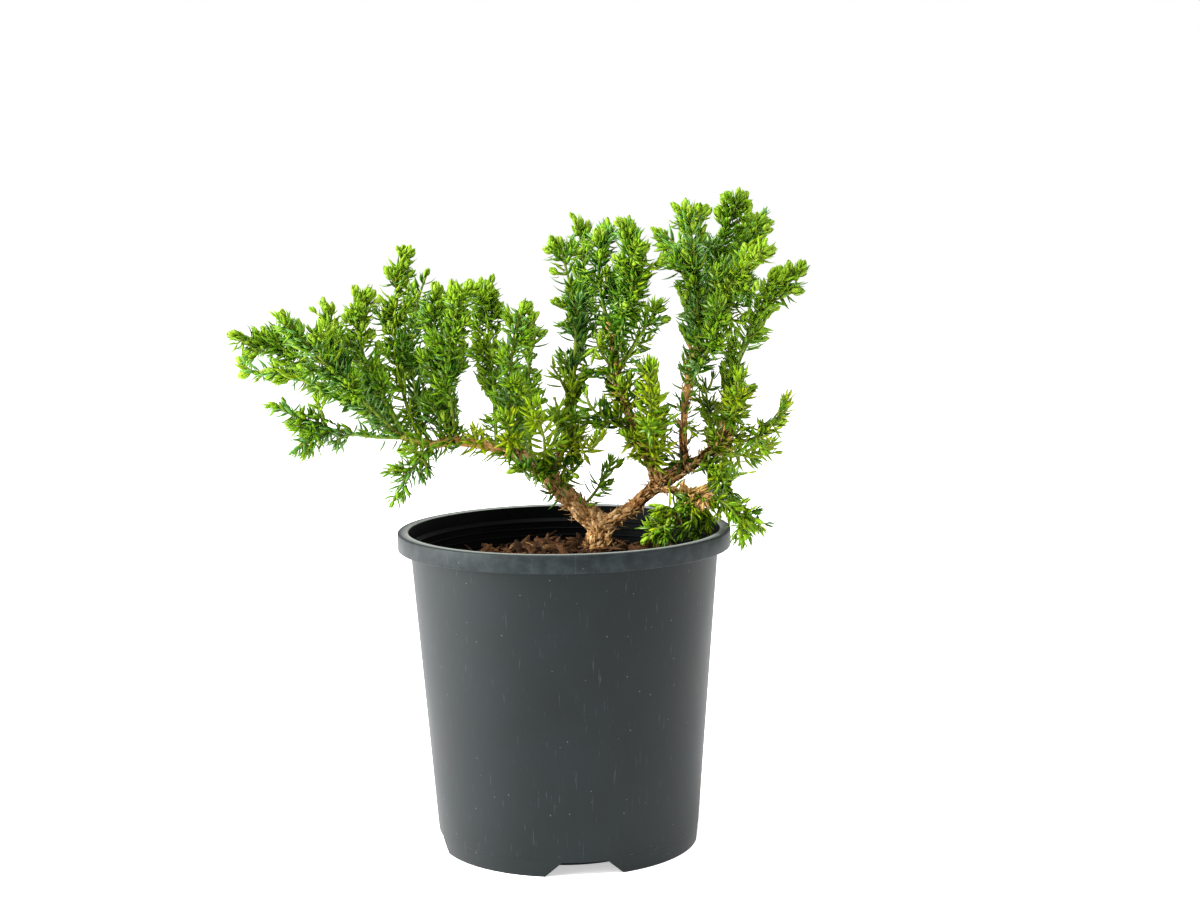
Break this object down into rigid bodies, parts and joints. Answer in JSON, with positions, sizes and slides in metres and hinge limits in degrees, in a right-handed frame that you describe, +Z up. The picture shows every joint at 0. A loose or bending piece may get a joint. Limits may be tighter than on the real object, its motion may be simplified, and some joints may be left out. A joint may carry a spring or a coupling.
{
  "type": "young flaky juniper bonsai in a nursery pot",
  "caption": "Young flaky juniper bonsai with a forked flaky trunk, spreading boughs and masses of needles, in a plain black round nursery pot",
  "frame": {"origin": "on the pot's axis at the ground, in the middle of the flat underside of the pot's floor", "axes": "+Z up along the pot's axis, +X to the right of the pictured side, -Y towards the viewer of that side"},
  "size_m": [0.284, 0.165, 0.3235],
  "materials": {
    "pot": "moulded black plastic, satin",
    "soil": "rough bark chips",
    "trunk": "flaky bark",
    "bough_left": "flaky bark",
    "bough_left_outer": "flaky bark",
    "bough_right": "flaky bark",
    "bough_right_outer": "flaky bark",
    "bough_centre": "flaky bark",
    "bough_centre_left": "flaky bark",
    "bough_right_upright": "flaky bark",
    "twig_lower_right": "flaky bark",
    "left_low_spray": "short awl-shaped green needles",
    "left_far_top": "short awl-shaped green needles",
    "left_far_middle": "short awl-shaped green needles",
    "left_front_fan": "short awl-shaped green needles",
    "left_back_fan": "short awl-shaped green needles",
    "left_shoulder": "short awl-shaped green needles",
    "left_spire": "short awl-shaped green needles",
    "left_back_tall": "short awl-shaped green needles",
    "left_upright": "short awl-shaped green needles",
    "left_inner_back": "short awl-shaped green needles",
    "left_inner_front": "short awl-shaped green needles",
    "left_heart": "short awl-shaped green needles",
    "left_heart_front": "short awl-shaped green needles",
    "left_heart_back": "short awl-shaped green needles",
    "left_bush": "short awl-shaped green needles",
    "left_bush_low": "short awl-shaped green needles",
    "left_bush_right": "short awl-shaped green needles",
    "left_under_spray": "short awl-shaped green needles",
    "left_under_tuft": "short awl-shaped green needles",
    "centre_left_spray": "short awl-shaped green needles",
    "centre_left_low": "short awl-shaped green needles",
    "centre_left_back": "short awl-shaped green needles",
    "centre_crown": "short awl-shaped green needles",
    "centre_front": "short awl-shaped green needles",
    "centre_back": "short awl-shaped green needles",
    "centre_side": "short awl-shaped green needles",
    "centre_bush_back": "short awl-shaped green needles",
    "centre_bush_front": "short awl-shaped green needles",
    "centre_low_left": "short awl-shaped green needles",
    "centre_spray": "short awl-shaped green needles",
    "fork_sprig": "short awl-shaped green needles",
    "right_heart": "short awl-shaped green needles",
    "right_heart_back": "short awl-shaped green needles",
    "right_middle_back": "short awl-shaped green needles",
    "right_crown": "short awl-shaped green needles",
    "right_crown_left": "short awl-shaped green needles",
    "right_crown_outlier": "short awl-shaped green needles",
    "right_crown_back": "short awl-shaped green needles",
    "right_crown_front": "short awl-shaped green needles",
    "right_far_spray": "short awl-shaped green needles",
    "right_far_back": "short awl-shaped green needles",
    "right_upright_front": "short awl-shaped green needles",
    "right_low_spray": "short awl-shaped green needles",
    "right_low_back": "short awl-shaped green needles",
    "right_low_front": "short awl-shaped green needles",
    "right_low_tuft": "short awl-shaped green needles",
    "rim_spray_middle": "short awl-shaped green needles",
    "rim_spray_right": "short awl-shaped green needles",
    "rim_spray_left": "short awl-shaped green needles"
  },
  "bodies": {
    "root": {"pot": "pot", "soil": "soil", "trunk": "trunk", "bough_left": "bough_left", "bough_left_outer": "bough_left_outer", "bough_right": "bough_right", "bough_right_outer": "bough_right_outer", "bough_centre": "bough_centre", "bough_centre_left": "bough_centre_left", "bough_right_upright": "bough_right_upright", "twig_lower_right": "twig_lower_right", "left_low_spray": "left_low_spray", "left_far_top": "left_far_top", "left_far_middle": "left_far_middle", "left_front_fan": "left_front_fan", "left_back_fan": "left_back_fan", "left_shoulder": "left_shoulder", "left_spire": "left_spire", "left_back_tall": "left_back_tall", "left_upright": "left_upright", "left_inner_back": "left_inner_back", "left_inner_front": "left_inner_front", "left_heart": "left_heart", "left_heart_front": "left_heart_front", "left_heart_back": "left_heart_back", "left_bush": "left_bush", "left_bush_low": "left_bush_low", "left_bush_right": "left_bush_right", "left_under_spray": "left_under_spray", "left_under_tuft": "left_under_tuft", "centre_left_spray": "centre_left_spray", "centre_left_low": "centre_left_low", "centre_left_back": "centre_left_back", "centre_crown": "centre_crown", "centre_front": "centre_front", "centre_back": "centre_back", "centre_side": "centre_side", "centre_bush_back": "centre_bush_back", "centre_bush_front": "centre_bush_front", "centre_low_left": "centre_low_left", "centre_spray": "centre_spray", "fork_sprig": "fork_sprig", "right_heart": "right_heart", "right_heart_back": "right_heart_back", "right_middle_back": "right_middle_back", "right_crown": "right_crown", "right_crown_left": "right_crown_left", "right_crown_outlier": "right_crown_outlier", "right_crown_back": "right_crown_back", "right_crown_front": "right_crown_front", "right_far_spray": "right_far_spray", "right_far_back": "right_far_back", "right_upright_front": "right_upright_front", "right_low_spray": "right_low_spray", "right_low_back": "right_low_back", "right_low_front": "right_low_front", "right_low_tuft": "right_low_tuft", "rim_spray_middle": "rim_spray_middle", "rim_spray_right": "rim_spray_right", "rim_spray_left": "rim_spray_left"}
  },
  "joints": []
}
